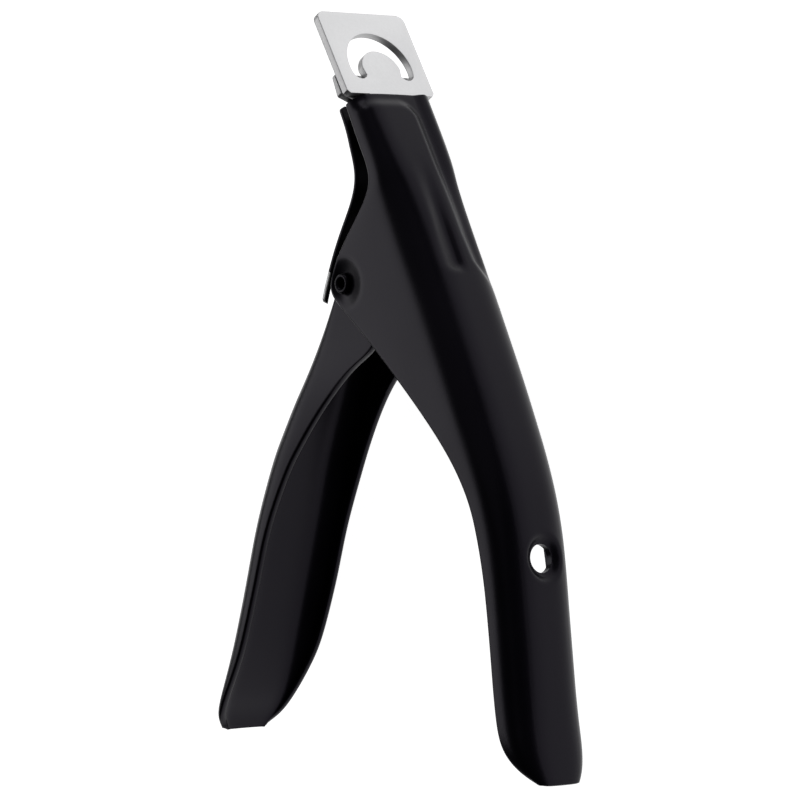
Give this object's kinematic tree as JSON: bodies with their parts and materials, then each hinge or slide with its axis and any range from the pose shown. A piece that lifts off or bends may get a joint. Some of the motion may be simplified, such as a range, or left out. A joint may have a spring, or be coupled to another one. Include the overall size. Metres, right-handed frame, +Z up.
{
  "type": "nail tip cutter",
  "caption": "Acrylic nail tip cutter: channel body with a crescent head plate, sliding blade, hinged squeeze lever and leaf spring.",
  "frame": {"origin": "centre of the bounding box footprint, at the lowest point of the tool lying on its side", "axes": "+Y towards the cutting head along the body, +X the way the back of the body faces, +Z up, across the tool's width"},
  "size_m": [0.0866, 0.1264, 0.018],
  "materials": {
    "black_paint": "satin black paint",
    "plate_steel": "satin",
    "blade_steel": "satin",
    "inner_steel": "satin"
  },
  "bodies": {
    "frame": {"body_shell": "black_paint", "head_plate": "plate_steel", "guide_block": "inner_steel", "guide_pin_upper": "inner_steel", "guide_pin_lower": "inner_steel", "leaf_rivet": "black_paint", "pivot_rivet": "black_paint"},
    "lever": {"lever_handle": "black_paint", "drive_cam": "inner_steel", "cam_rivet": "inner_steel"},
    "blade": {"sliding_blade": "blade_steel"},
    "leaf": {"leaf_spring": "black_paint"}
  },
  "joints": [
    {"name": "lever_hinge", "type": "hinge", "parent": "frame", "child": "lever", "pos_m": [0.02365, 0.02385, 0.009], "axis": [0, 0, 1], "range_deg": [0, 34], "stiffness_Nm_per_rad": 0.6, "springref_deg": -17.19},
    {"name": "blade_slide", "type": "slide", "parent": "frame", "child": "blade", "axis": [0, 1, 0], "range_m": [0, 0.00925]},
    {"name": "leaf_flex", "type": "hinge", "parent": "frame", "child": "leaf", "pos_m": [0.03605, 0.04585, 0.009], "axis": [0, 0, -1], "range_deg": [0, 3.3]}
  ],
  "couplings": [
    {"joint": "blade_slide", "follows": "lever_hinge", "m_per_rad": 0.015569},
    {"joint": "leaf_flex", "follows": "lever_hinge", "ratio": 0.094}
  ]
}
